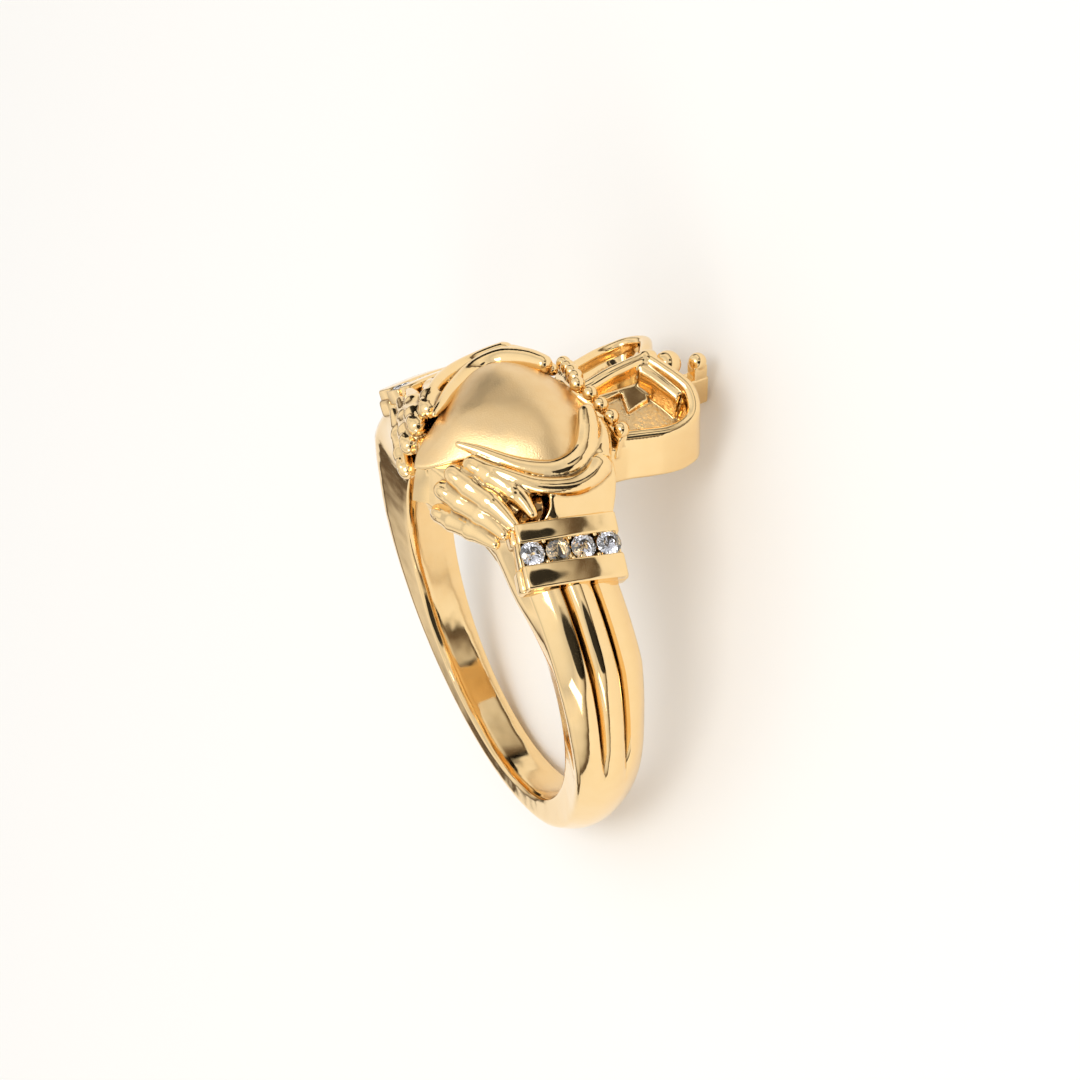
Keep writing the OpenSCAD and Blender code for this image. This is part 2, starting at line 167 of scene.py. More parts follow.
def smooth(points, steps):
    """An open run of points made smooth, with so many steps for each stretch."""
    run = []
    last = len(points) - 1
    for i in range(last):
        a, b, c, d = (points[max(i - 1, 0)], points[i], points[i + 1], points[min(i + 2, last)])
        for k in range(steps):
            t = k / steps
            run.append([(2 * q + (r - p) * t + (2 * p - 5 * q + 4 * r - s) * t * t
                         + (3 * q - p - 3 * r + s) * t ** 3) / 2 for p, q, r, s in zip(a, b, c, d)])
    return run + [list(points[-1])]


def pull_on(bm, ring, points):
    """Extrudes a ring of vertices to new places and returns the new ring."""
    edges = [bm.edges.get((ring[i - 1], ring[i])) for i in range(len(ring))]
    made = bmesh.ops.extrude_edge_only(bm, edges=edges)["geom"]
    fresh = {v for v in made if isinstance(v, bmesh.types.BMVert)}
    grown = []
    for old, place in zip(ring, points):
        new = next(e.other_vert(old) for e in old.link_edges if e.other_vert(old) in fresh)
        new.co = place
        grown.append(new)
    return grown


def loft(bm, rings, closed=False):
    """A skin through rings of points, with filled ends unless closed joins the last ring to the first."""
    first = [bm.verts.new(p) for p in rings[0]]
    for i in range(len(first)):
        bm.edges.new((first[i - 1], first[i]))
    ring = first
    for points in rings[1:]:
        ring = pull_on(bm, ring, points)
    ends = [[bm.edges.get((r[i - 1], r[i])) for i in range(len(r))] for r in (first, ring)]
    if closed:
        bmesh.ops.bridge_loops(bm, edges=ends[0] + ends[1])
    else:
        for end in ends:
            bmesh.ops.edgeloop_fill(bm, edges=end)


# Rings of a tube's round end, from its point inwards: distance from the last spot, and radius,
# both as shares of the tube's radius there
ROUND_END = ((0.98, 0.2), (0.8, 0.6), (0.45, 0.88))
# Stretches of a wall's rounded crest
CREST_STEPS = 6


def tube(bm, path, side=(0, 0, 1), n=18):
    """A soft round bar through [x, y, z, radius], closed to a point at both ends."""
    spots = [Vector(p[:3]) for p in path]
    rings = []
    last = len(path) - 1
    for i, p in enumerate(path):
        run = (spots[min(i + 1, last)] - spots[max(i - 1, 0)]).normalized()
        s = Vector(side).cross(run).normalized()
        u = run.cross(s)

        def circle(centre, r):
            return [centre + r * (math.cos(a) * s + math.sin(a) * u)
                    for a in (2 * math.pi * k / n for k in range(n))]
        if i == 0:
            for away, share in ROUND_END:
                rings.append(circle(spots[0] - run * away * p[3], share * p[3]))
        rings.append(circle(spots[i], p[3]))
        if i == last:
            for away, share in reversed(ROUND_END):
                rings.append(circle(spots[last] + run * away * p[3], share * p[3]))
    loft(bm, rings)


def wall_along(bm, path, crest, left, right, low):
    """A wall along [x, y, z] with a rounded crest, down to a level, where it reaches left and right."""
    spots = [Vector(p[:3]) for p in path]
    last = len(path) - 1
    rings = []
    for i, p in enumerate(spots):
        run = spots[min(i + 1, last)] - spots[max(i - 1, 0)]
        s = Vector((run.y, -run.x, 0)).normalized()
        ring = [p - s * left]
        ring[0].z = low
        for k in range(CREST_STEPS + 1):
            a = math.pi * (k / CREST_STEPS - 0.5)
            spot = p + s * (crest / 2) * math.sin(a)
            spot.z -= (crest / 2) * (1 - math.cos(a))
            ring.append(spot)
        ring.append(p + s * right)
        ring[-1].z = low
        rings.append(ring)
    loft(bm, rings)


def box(bm, low, high, bevel, segments):
    """A block between two corners, with its edges rounded, and returns its vertices."""
    low, high = Vector(low), Vector(high)
    verts = bmesh.ops.create_cube(bm, size=1)["verts"]
    bmesh.ops.scale(bm, vec=high - low, verts=verts)
    bmesh.ops.translate(bm, vec=(low + high) / 2, verts=verts)
    edges = list({e for v in verts for e in v.link_edges})
    made = bmesh.ops.bevel(bm, geom=edges, offset=bevel, offset_type="OFFSET", segments=segments,
                           profile=0.5, affect="EDGES", material=-1)
    return list({v for f in made["faces"] for v in f.verts} | {v for v in verts if v.is_valid})


def ball(bm, centre, r, u=28, v=18):
    bmesh.ops.create_uvsphere(bm, u_segments=u, v_segments=v, radius=r, matrix=Matrix.Translation(centre))


def tidy(bm, sharp=38):
    """Merges doubles, turns all faces outwards, and shades smooth all but edges of so many degrees."""
    bmesh.ops.remove_doubles(bm, verts=bm.verts, dist=1e-5)
    bmesh.ops.recalc_face_normals(bm, faces=bm.faces)
    for face in bm.faces:
        face.smooth = True
    for edge in bm.edges:
        edge.smooth = not edge.is_manifold or edge.calc_face_angle() < math.radians(sharp)


# The bend of a crease that counts as fully hollow and gets the full painted shade, the rounds that
# spread it over its neighbours, and the share that a place keeps of its own bend in each round
FULL_BEND = 0.12
SPREAD_ROUNDS = 6
OWN_SHARE = 0.4


def paint_crease_shade(mesh):
    """Marks how hollow the surface is, from 0 to 1, for the painted shade in its creases."""
    def values(held, name, width, kind=float):
        found = np.empty(len(held) * width, kind)
        held.foreach_get(name, found)
        return found.reshape(-1, width)
    count = len(mesh.vertices)
    spots, normals = values(mesh.vertices, "co", 3), values(mesh.vertices, "normal", 3)
    a, b = values(mesh.edges, "vertices", 2, int).T
    run = spots[b] - spots[a]
    far = np.linalg.norm(run, axis=1) + 1e-12
    bend = np.zeros(count)
    np.add.at(bend, a, (normals[a] * run).sum(1) / far)
    np.add.at(bend, b, -(normals[b] * run).sum(1) / far)
    share = np.maximum(1, np.bincount(np.concatenate((a, b)), minlength=count))
    bend = bend / share
    for _ in range(SPREAD_ROUNDS):
        total = np.zeros(count)
        np.add.at(total, a, bend[b])
        np.add.at(total, b, bend[a])
        bend = OWN_SHARE * bend + (1 - OWN_SHARE) * total / share
    held = mesh.attributes.new("crease", "FLOAT", "POINT")
    held.data.foreach_set("value", np.clip(bend / FULL_BEND, 0, 1).astype(np.float32))


def placed(name, data):
    """A new object in the scene that holds this mesh, lamp or camera."""
    made = bpy.data.objects.new(name, data)
    bpy.context.scene.collection.objects.link(made)
    return made


def piece(name, bm, materials, replaces=("gold_ring",), slot="gold"):
    """Lays a finished shape down in the frame, as a piece that stands for a CAD node."""
    bmesh.ops.transform(bm, matrix=LAID_DOWN, verts=bm.verts)
    mesh = bpy.data.meshes.new(name)
    bm.to_mesh(mesh)
    bm.free()
    # Gold pieces get painted shade in their creases
    if slot == "gold":
        paint_crease_shade(mesh)
    made = placed(name, mesh)
    for material in materials:
        mesh.materials.append(material)
    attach(made, "root")
    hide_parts(*replaces)
    return made


def soften(bm, verts):
    """Moves each vertex halfway to the middle of its neighbours."""
    bmesh.ops.smooth_vert(bm, verts=verts, factor=0.5, use_axis_x=True, use_axis_y=True, use_axis_z=True)


def melted(bm, grain, rounds):
    """Melts overlapping shapes into one skin, as in a casting, and softens its creases."""
    mesh = bpy.data.meshes.new("melting")
    bm.to_mesh(mesh)
    bm.free()
    made = placed("melting", mesh)
    remesh = made.modifiers.new("Melt", "REMESH")
    remesh.mode = "VOXEL"
    remesh.voxel_size = grain
    result = made.evaluated_get(bpy.context.evaluated_depsgraph_get()).to_mesh()
    new = bmesh.new()
    new.from_mesh(result)
    bpy.data.objects.remove(made)
    for _ in range(rounds):
        soften(new, new.verts)
    bmesh.ops.recalc_face_normals(new, faces=new.faces)
    for face in new.faces:
        face.smooth = True
    return new


# Shape of the band and of the head, by the angle from the top of the ring

TIP_GROW = smooth([[0, 1], [11, 0.6], [16, 0.37], [21, 0.2], [27, 0.08], [33, 0], [40, 0]], 5)
CROWN_GROW = smooth([[0, 1], [12, 1], [20, 0.93], [27, 0.68], [33, 0.3], [39, 0], [46, 0]], 5)
HEAD_RISE = smooth([[0, 0.76], [10, 0.8], [18, 0.96], [23, 1.02], [28, 0.9], [33, 0.82]], 5)
# How far the flanks swell under the cuffs, in mm, on the side of the heart's tip
FLANK_SWELL = smooth([[0, 0], [10, 0.1], [18, 0.4], [26, 0.6], [38, 0.58], [48, 0.3], [60, 0]], 5)
# Angles where the band is fully grown, where it dips under the head, and where the ribs run out,
# with the stretch over which they do, and the depth and the stretch of the dip
SHOULDER_A, HEAD_A, RIBS_A, RIBS_STRETCH = 62, 28, 94, 16
DIP_DEPTH, DIP_STRETCH = 1.3, 5
BAND_STEPS = 144
# Places across half of the band's outer face and down its flank, as shares of each
FACE_STEPS = [0, 0.09, 0.17, 0.235, 0.262, 0.29, 0.31, 0.33, 0.35, 0.37, 0.4, 0.43, 0.55, 0.68, 0.8,
              0.88, 0.93]
FLANK_STEPS = (0.15, 0.3, 0.42, 0.54, 0.66, 0.8, 0.9, 1)
# Middle of a groove and half of its width, as shares of half the outer face, and how far the ribs
# fall from their middle to their sides, in mm
GROOVE_PLACE, GROOVE_HALF, RIB_FALL = 0.33, 0.1, 0.2


def band_share(a):
    """How far the band has grown from its foot, at 0, to its shoulders, at 1."""
    return min(1, ((180 - a) / (180 - SHOULDER_A)) ** 2)


def band_half(b, a):
    """Half of the band's width at an angle."""
    return (b.foot_w + (b.shoulder_w - b.foot_w) * band_share(a)) / 2


def around(x, r, a):
    """A point of the ring from its place across, its radius and its angle from the top."""
    return Vector((x, -r * math.sin(math.radians(a)), r * math.cos(math.radians(a))))


def band_section(b, a):
    """Points [place across, radius] around the band at an angle from the top."""
    share = band_share(a)
    half = band_half(b, a)
    inner = (b.foot_w - 0.1 + (b.inner_w - b.foot_w + 0.1) * share) / 2
    top = HOLE_R + b.foot_t - 0.01 + (b.shoulder_t - b.foot_t) * share
    if a < HEAD_A:
        top -= DIP_DEPTH * min(1, (HEAD_A - a) / DIP_STRETCH)
    ribs = max(0, min(1, (RIBS_A - a) / RIBS_STRETCH)) ** 1.5

    def face(u):
        v = abs(u)
        fall = b.face_fall * v * v * half / (b.foot_w / 2) * min(1, a / 40)
        groove = max(0, 1 - abs(v - GROOVE_PLACE) / GROOVE_HALF) ** 1.2
        if v < GROOVE_PLACE:
            local = v / GROOVE_PLACE
        else:
            local = 2 * (v - GROOVE_PLACE) / (1 - GROOVE_PLACE) - 1
        return top - fall - ribs * (b.groove_d * groove + RIB_FALL * local * local)
    across = [-u for u in reversed(FACE_STEPS[1:])] + FACE_STEPS
    points = [(half * u, face(u)) for u in across]
    # The rounded edges to the flanks and to the finger hole, and the flanks between them
    edge, bore_edge = 0.14, 0.16
    low = face(1) - edge * 1.2
    rounding = [(half - edge * 0.45, face(0.95) - edge * 0.1), (half - edge * 0.12, face(1) - edge * 0.5),
                (half, low)]
    swell = between(FLANK_SWELL, a)

    def flank(out):
        return [(half - (half - inner) * t + out * math.sin(math.pi * t ** 0.9),
                 low - (low - HOLE_R - bore_edge) * t) for t in FLANK_STEPS]
    turn = [(inner - 0.045, HOLE_R + 0.05), (inner - bore_edge, HOLE_R)]
    right = rounding + flank(swell / 3) + turn
    left = [(-x, r) for x, r in reversed(rounding + flank(swell) + turn)]
    inside = [(x * (inner - bore_edge), HOLE_R) for x in (0.5, 0, -0.5)]
    return points + right + inside + left


class RING_OT_band(bpy.types.Operator):
    """Makes the band, with three ribs and two grooves on each shoulder"""
    bl_idname = "ring.band"
    bl_label = "Band"

    def execute(self, context):
        b = sizes("ring_band")
        bm = bmesh.new()
        loft(bm, [[around(x, r, a) for x, r in band_section(b, abs(a))]
                  for a in (-180 + 360 * k / BAND_STEPS for k in range(BAND_STEPS))], closed=True)
        tidy(bm)
        piece("band", bm, [polished_gold()])
        return {"FINISHED"}


def cuff_place(b, c):
    """Carries a flat that is drawn at the top of the ring to the near cuff."""
    return (Matrix.Rotation(c.angle, 4, "X") @ Matrix.Translation((0.05 * b.shoulder_w, 0, 0))
            @ Matrix.Rotation(-c.splay, 4, "Z"))


def both_sides(bm):
    """Adds the far side of everything that is drawn on the near side."""
    geom = bm.verts[:] + bm.edges[:] + bm.faces[:]
    bmesh.ops.mirror(bm, geom=geom, matrix=Matrix.Identity(4), merge_dist=-1, axis="Y")


# Stretches of a bar, and how far its ends fall below its middle, in mm
BAR_STEPS = 12
BAR_BOW = 0.12


class RING_OT_cuffs(bpy.types.Operator):
    """Makes the two bars of each cuff, with the channel and the small claws between them"""
    bl_idname = "ring.cuffs"
    bl_label = "Cuffs"

    def execute(self, context):
        b, c = sizes("ring_band"), sizes("ring_cuff")
        bm = bmesh.new()
        cuff_r = HOLE_R + b.shoulder_t

        def bar(bm, y, l, w, depth, top, bevel=0.13):
            verts = box(bm, (-l / 2, y - w / 2, cuff_r - depth), (l / 2, y + w / 2, cuff_r + top), bevel, 4)
            edges = {e for v in verts for e in v.link_edges}
            faces = {f for v in verts for f in v.link_faces}
            geom = list(edges | faces) + verts
            for k in range(1 - BAR_STEPS // 2, BAR_STEPS // 2):
                geom = bmesh.ops.bisect_plane(bm, geom=geom, plane_co=(k * l / BAR_STEPS, 0, 0),
                                              plane_no=(1, 0, 0))["geom"]
            for v in {g for g in geom if isinstance(g, bmesh.types.BMVert)}:
                if v.co.z > cuff_r - 0.3:
                    v.co.z -= BAR_BOW * (2 * v.co.x / l) ** 2
        # The bar nearer the foot is the wider one
        wide = {-1: 1.2 * c.bar_w, 1: c.bar_w}
        for s in (-1, 1):
            bar(bm, s * (c.channel_w + wide[s]) / 2, c.bar_l, wide[s], 0.6, c.bar_h)
        # Blocks that close the channel's ends
        for s in (-1, 1):
            end = s * (c.bar_l / 2 - 0.1)
            box(bm, (end - 0.2, -c.channel_w / 2 - 0.1, cuff_r - 0.6),
                (end + 0.02, c.channel_w / 2 + 0.1, cuff_r + 0.1), 0.07, 3)
        # Small claws between the stones, on the bars' inner edges
        for k in range(1, c.stone_count):
            x = (k - c.stone_count / 2) * c.stone_pitch
            for s in (-1, 1):
                ball(bm, (x, s * (c.channel_w / 2 - 0.02), cuff_r + c.bar_h - 0.16), 0.1, 12, 8)
        # The soft body of the cuff, which the bars and the stones sit on
        core = bmesh.new()
        for s in (-1, 1):
            bar(core, s * (c.channel_w + wide[s]) / 2, c.bar_l + 0.4 * c.bar_w, wide[s] + 0.06, 1.2, -0.14,
                0.22)
        bar(core, 0, c.bar_l, c.bar_w + c.channel_w, 1.4, -0.42, 0.22)
        core = melted(core, 0.06, 5)
        bmesh.ops.transform(core, matrix=cuff_place(b, c), verts=core.verts)
        both_sides(core)
        piece("cuff_bodies", core, [polished_gold()])
        bmesh.ops.transform(bm, matrix=cuff_place(b, c), verts=bm.verts)
        both_sides(bm)
        tidy(bm, 50)
        piece("cuffs", bm, [polished_gold()])
        return {"FINISHED"}


# Levels of a brilliant from its table down: radius and height as shares of the stone's radius,
# number of corners, and turn in shares of the angle between two corners
BRILLIANT = ((0.54, 0.3, 8, 0), (0.765, 0.215, 8, 0.5), (0.99, 0.04, 16, 0), (0.99, -0.04, 16, 0),
             (0.235, -0.665, 8, 0.5), (0.02, -0.84, 8, 0))
# How the stones of a row are turned and tilted in their seats, in degrees
STONE_TURNS = (9, 39, 37, 51)
STONE_TILTS = (2, 3, 1.5, -2)


class RING_OT_stones(bpy.types.Operator):
    """Makes the brilliant-cut stones of both cuffs"""
    bl_idname = "ring.stones"
    bl_label = "Stones"

    def execute(self, context):
        b, c = sizes("ring_band"), sizes("ring_cuff")
        r = c.stone_d / 2
        girdle_z = HOLE_R + b.shoulder_t + c.bar_h - 0.2 * c.stone_d
        # The dark facet paints a dark reflection into the stone
        materials = [diamond(), facet("Bright Facet", 0.96), facet("Dark Facet", 0.05)]
        for side in ("near", "far"):
            for k in range(c.stone_count):
                bm = bmesh.new()
                for wide, high, n, turn in BRILLIANT:
                    for a in (2 * math.pi * (i + turn) / n for i in range(n)):
                        bm.verts.new((wide * r * math.cos(a), wide * r * math.sin(a), high * r))
                bmesh.ops.convex_hull(bm, input=bm.verts)
                bmesh.ops.dissolve_limit(bm, angle_limit=0.02, verts=bm.verts, edges=bm.edges)
                bm.normal_update()
                # Every third of the lower facets is a dark mirror with a painted dark reflection, and the
                # others are bright mirrors
                lower = [f for f in bm.faces if f.normal.z < -0.1]
                lower.sort(key=lambda f: math.atan2(f.calc_center_median().y, f.calc_center_median().x))
                for i, face in enumerate(lower):
                    face.material_index = 1 + (i % 3 == 1)
                turn = Matrix.Rotation(math.radians(STONE_TURNS[k % 4]), 4, "Z")
                tilt = Matrix.Rotation(math.radians(STONE_TILTS[k % 4]), 4, "X")
                x = (k - (c.stone_count - 1) / 2) * c.stone_pitch
                place = cuff_place(b, c) @ Matrix.Translation((x, 0, girdle_z)) @ tilt @ turn
                bmesh.ops.transform(bm, matrix=place, verts=bm.verts)
                if side == "far":
                    bmesh.ops.scale(bm, vec=(1, -1, 1), verts=bm.verts)
                bmesh.ops.recalc_face_normals(bm, faces=bm.faces)
                piece(f"{side}_brilliant_{k + 1}", bm, materials, (f"{side}_stone_{k + 1}",), "diamond")
        return {"FINISHED"}


# Half of the heart's plan, from its tip: share of its length, and share of half its width
HEART_PLAN = [[0, 0], [0.06, 0.17], [0.23, 0.42], [0.34, 0.62], [0.45, 0.84], [0.57, 0.99], [0.67, 1],
              [0.78, 0.89], [0.89, 0.64], [0.96, 0.36], [1, 0]]
# Height of the heart's edge, and rise of its dome, at shares of its length from the tip
EDGE_RISE = [[0, 0.66], [0.1, 0.75], [0.25, 0.85], [0.5, 0.86], [0.8, 0.88], [1, 0.82]]
CREST_RISE = [[0, 0], [0.1, 0.35], [0.3, 0.85], [0.6, 1], [0.85, 0.75], [1, 0.35]]
# Rings of the wall, as shares of the hands' height and lean under the tip, and of the dome, as
# shares of the way from its middle to its edge
WALL_STEPS = ((0.22, 0.06), (0.4, 0.045), (0.55, 0.03), (0.63, 0.015))
DOME_STEPS = (0.975, 0.95, 0.91, 0.86, 0.8, 0.73, 0.65, 0.56, 0.46, 0.36, 0.26, 0.16, 0.07)
# Middle of the dome, as a share of the heart's length from the tip
DOME_MIDDLE = 0.62


def tip_x(h):
    """Place of the heart's tip, across the band."""
    return -0.47 * h.heart_l


class RING_OT_heart(bpy.types.Operator):
    """Makes the heart, with a satin dome and a polished wall under its tip"""
    bl_idname = "ring.heart"
    bl_label = "Heart"

    def execute(self, context):
        h = sizes("ring_head")
        half = smooth(HEART_PLAN, 4)
        plan = [[x, -y] for x, y in half] + [[x, y] for x, y in half[-2:0:-1]]
        edge_rise, crest_rise = smooth(EDGE_RISE, 8), smooth(CREST_RISE, 8)

        def point(p, s, drop=0.0):
            u = DOME_MIDDLE + (p[0] - DOME_MIDDLE) * s
            edge = HOLE_R + h.hand_h * between(edge_rise, u)
            z = edge + h.dome_h * between(crest_rise, u) * (1 - s ** 3.4) - drop
            return Vector((tip_x(h) + u * h.heart_l, p[1] * s * h.heart_w / 2, z))
        rings = []
        for high, lean in WALL_STEPS:
            rings.append([point([p[0] - lean * max(0, 1 - p[0] * 5), p[1]], 0.95) for p in plan])
            for v in rings[-1]:
                v.z = HOLE_R + high * h.hand_h
        rings += [[point(p, 0.99, 0.2) for p in plan], [point(p, 1, 0.1) for p in plan],
                  [point(p, 0.993, 0.02) for p in plan]]
        rings += [[point(p, s) for p in plan] for s in DOME_STEPS]
        bm = bmesh.new()
        loft(bm, rings)
        tidy(bm, 60)
        for _ in range(2):
            soften(bm, [v for v in bm.verts if v.co.z > HOLE_R + 0.9 * h.hand_h])
        bm.normal_update()
        for face in bm.faces:
            face.material_index = 0 if face.normal.z > 0.35 else 1
        piece("heart", bm, [satin_gold(), polished_gold()])
        return {"FINISHED"}


# The hands. Their points are shares of the heart's length from its tip, of the reach to the
# cuffs and of the hand's height, with the thickness as a share of the finger's or thumb's.
THUMB = [[0.2, 0.22, 0.99, 0.3], [0.28, 0.34, 0.95, 0.55], [0.37, 0.49, 0.89, 0.75],
         [0.46, 0.61, 0.84, 0.9], [0.57, 0.72, 0.82, 1], [0.67, 0.75, 0.84, 1.1], [0.77, 0.7, 0.88, 1.2],
         [0.85, 0.54, 0.95, 1.15], [0.9, 0.38, 1, 0.9]]
BACK_RIM = [[0.22, 0.47, 0.93, 0.3], [0.28, 0.56, 0.91, 0.6], [0.37, 0.7, 0.86, 0.8],
            [0.46, 0.81, 0.8, 0.95], [0.56, 0.88, 0.77, 1], [0.66, 0.91, 0.76, 1.05],
            [0.75, 0.89, 0.78, 1.2], [0.81, 0.84, 0.81, 1.4]]
BACK_FOLD = [[0.84, 0.77, 0.83, 1.2], [0.88, 0.68, 0.85, 1.1], [0.93, 0.54, 0.86, 0.95],
             [0.96, 0.4, 0.86, 0.7]]
FINGERS = [
    [[0.38, 0.95, 0.62, 0.5], [0.36, 0.79, 0.72, 0.9], [0.29, 0.59, 0.82, 1.02], [0.22, 0.41, 0.87, 0.95]],
    [[0.27, 0.97, 0.57, 0.55], [0.235, 0.76, 0.65, 0.95], [0.18, 0.55, 0.71, 1.05], [0.13, 0.35, 0.77, 0.95]],
    [[0.21, 0.96, 0.5, 0.55], [0.185, 0.76, 0.52, 0.92], [0.13, 0.54, 0.55, 1.02], [0.07, 0.32, 0.58, 0.92]],
    [[0.16, 0.95, 0.4, 0.5], [0.13, 0.74, 0.37, 0.88], [0.08, 0.52, 0.33, 0.95], [0.04, 0.31, 0.29, 0.9]]]
# The deep hollow between the fingers' roots and the palm: its run, half of its width, the width of
# its slopes and its depth, and how far from its run the surface gets a painted shadow, in mm
HOLLOW = [[0.43, 0.77, 0.76], [0.44, 0.86, 0.7], [0.4, 0.93, 0.65], [0.36, 0.96, 0.62]]
HOLLOW_HALF, HOLLOW_SLOPE, HOLLOW_DEPTH, HOLLOW_SHADOW_REACH = 0.62, 0.22, 0.6, 0.8
# How far the palm is sunk on the heart's tip side, by the angle from the top of the ring
PALM_SUNK = [[0, 0], [8, 0.1], [14, 0.8], [19, 1], [27, 1], [33, 0.4]]
# Places of the knuckles along a finger, the way that the nails face, and their half sizes in mm
KNUCKLES = (0.42, 0.73)
NAIL_WAY = Vector((-0.75, -0.2, 0.62))
NAIL_SIZE = (0.36, 0.21, 0.12)


def head_edges(h, half, tip, crown, a):
    """Both edges of the head at an angle, from half the band's width out to shares of the heart's tip."""
    return (-half + (tip_x(h) * tip + half) * between(TIP_GROW, a),
            half + (-tip_x(h) * crown - half) * between(CROWN_GROW, a))


class RING_OT_hands(bpy.types.Operator):
    """Makes both hands: thumb, back rim, palm and four fingers with knuckles and nails"""
    bl_idname = "ring.hands"
    bl_label = "Hands"

    def execute(self, context):
        b, c, h = sizes("ring_band"), sizes("ring_cuff"), sizes("ring_head")
        cuff_r = HOLE_R + b.shoulder_t
        reach = cuff_r * math.sin(c.angle) - (c.bar_w + c.channel_w) / 2 - c.bar_w / 2

        def at(p, r):
            return [tip_x(h) + p[0] * h.heart_l, -p[1] * reach, HOLE_R + p[2] * h.hand_h, p[3] * r]
        bm = bmesh.new()
        # Mass of the hand, which carries the fingers and the back of the hand. Its sides stand
        # upright from near the finger hole to this radius.
        side_r = 9.6
        rings = []
        for a in range(-3, 34, 3):
            t = abs(a)
            low, high = head_edges(h, band_half(b, t), 0.97, 1.04, t)
            top = HOLE_R + h.hand_h * between(HEAD_RISE, t) - (0.05 if t < 27 else 0.2)
            sunk = between(PALM_SUNK, t)
            section = ((0, HOLE_R + 0.75), (0, side_r), (0.03, top - 0.2 - 0.8 * sunk),
                       (0.1, top - 0.05 - 0.75 * sunk), (0.2, top - 0.5 * sunk),
                       (0.3, top + 0.02 - 0.25 * sunk), (0.42, top + 0.03), (0.56, top + 0.03),
                       (0.7, top + 0.02), (0.86, top - 0.06), (0.96, top - 0.2), (1, side_r),
                       (1, HOLE_R + 0.75))
            rings.append([around(low + (high - low) * x, r, a) for x, r in section])
        loft(bm, rings)
        bm = melted(bm, 0.07, 2)
        hollow = [Vector(p[:3]) for p in smooth([at([*p, 1], 1) for p in HOLLOW], 6)]
        for v in bm.verts:
            far = min((v.co - p).length for p in hollow)
            if far < HOLLOW_HALF:
                t = min(1, (HOLLOW_HALF - far) / HOLLOW_SLOPE)
                v.co -= Vector((0, v.co.y, v.co.z)).normalized() * HOLLOW_DEPTH * t * t * (3 - 2 * t)
        for points, thick in ((THUMB, h.thumb_r), (BACK_RIM, h.rim_r), (BACK_FOLD, h.rim_r)):
            tube(bm, smooth([at(p, thick) for p in points], 4))
        fingers = [smooth([at(p, h.finger_r) for p in points], 6) for points in FINGERS]
        for path in fingers:
            for i, p in enumerate(path):
                t = i / (len(path) - 1)
                knuckle = sum(math.exp(-((t - k) / 0.06) ** 2) for k in KNUCKLES)
                p[3] *= 0.93 + 0.13 * knuckle
            tube(bm, path)
        # Nails, raised on the last joint of each finger
        for path in fingers:
            spot, back = Vector(path[-2][:3]), Vector(path[-5][:3])
            run = (spot - back).normalized()
            out = (NAIL_WAY - run * run.dot(NAIL_WAY)).normalized()
            side = run.cross(out)
            turn = Matrix((run, side, out)).transposed().to_4x4()
            place = (Matrix.Translation(spot + out * h.finger_r * 0.78 - run * 0.08) @ turn
                     @ Matrix.Diagonal((*NAIL_SIZE, 1)))
            bmesh.ops.create_uvsphere(bm, u_segments=20, v_segments=12, radius=1, matrix=place)
        near = melted(bm, 0.054, 1)
        far = near.copy()
        bmesh.ops.scale(far, vec=(1, -1, 1), verts=far.verts)
        bmesh.ops.reverse_faces(far, faces=far.faces)
        # Places in the deep hollows that get a painted shadow, counted before the piece is laid down
        deep = [min((v.co - p).length for p in hollow) < HOLLOW_SHADOW_REACH
                and math.hypot(v.co.y, v.co.z) < HOLE_R + 0.86 * h.hand_h for v in near.verts]
        for name, hand in (("near_hand", near), ("far_hand", far)):
            made = piece(name, hand, [polished_gold()])
            # The deep hollows get the full painted shadow through the crease mark
            for mark, painted_shade in zip(made.data.attributes["crease"].data, deep):
                if painted_shade:
                    mark.value = 1
        return {"FINISHED"}


class RING_OT_seat(bpy.types.Operator):
    """Makes the polished underside of the head, between the finger hole and the hands"""
    bl_idname = "ring.seat"
    bl_label = "Head Underside"

    def execute(self, context):
        b, h = sizes("ring_band"), sizes("ring_head")
        bm = bmesh.new()
        slope = (0.35, 0.7, 1)
        rings = []
        for a in range(-39, 40, 3):
            t = abs(a)
            low, high = head_edges(h, band_half(b, t), 0.95, 1.02, t)
            low_in, high_in = head_edges(h, b.inner_w / 2, 0.88, 0.88, t)
            top = 10.6 if t < 30 else 11
            drop = top - 0.5 - HOLE_R
            section = [(low + 0.1, top), (low, top - 0.3)]
            section += [(low + (low_in - low) * s, top - 0.3 - drop * s) for s in slope]
            section += [(low_in + 0.06, HOLE_R + 0.06), (low_in + 0.2, HOLE_R), (0, HOLE_R),
                        (high_in - 0.2, HOLE_R), (high_in - 0.06, HOLE_R + 0.06)]
            section += [(high + (high_in - high) * s, top - 0.3 - drop * s) for s in reversed(slope)]
            section += [(high, top - 0.3), (high - 0.1, top)]
            rings.append([around(x, r, a) for x, r in section])
        loft(bm, rings)
        tidy(bm, 45)
        piece("head_underside", bm, [polished_gold()])
        return {"FINISHED"}


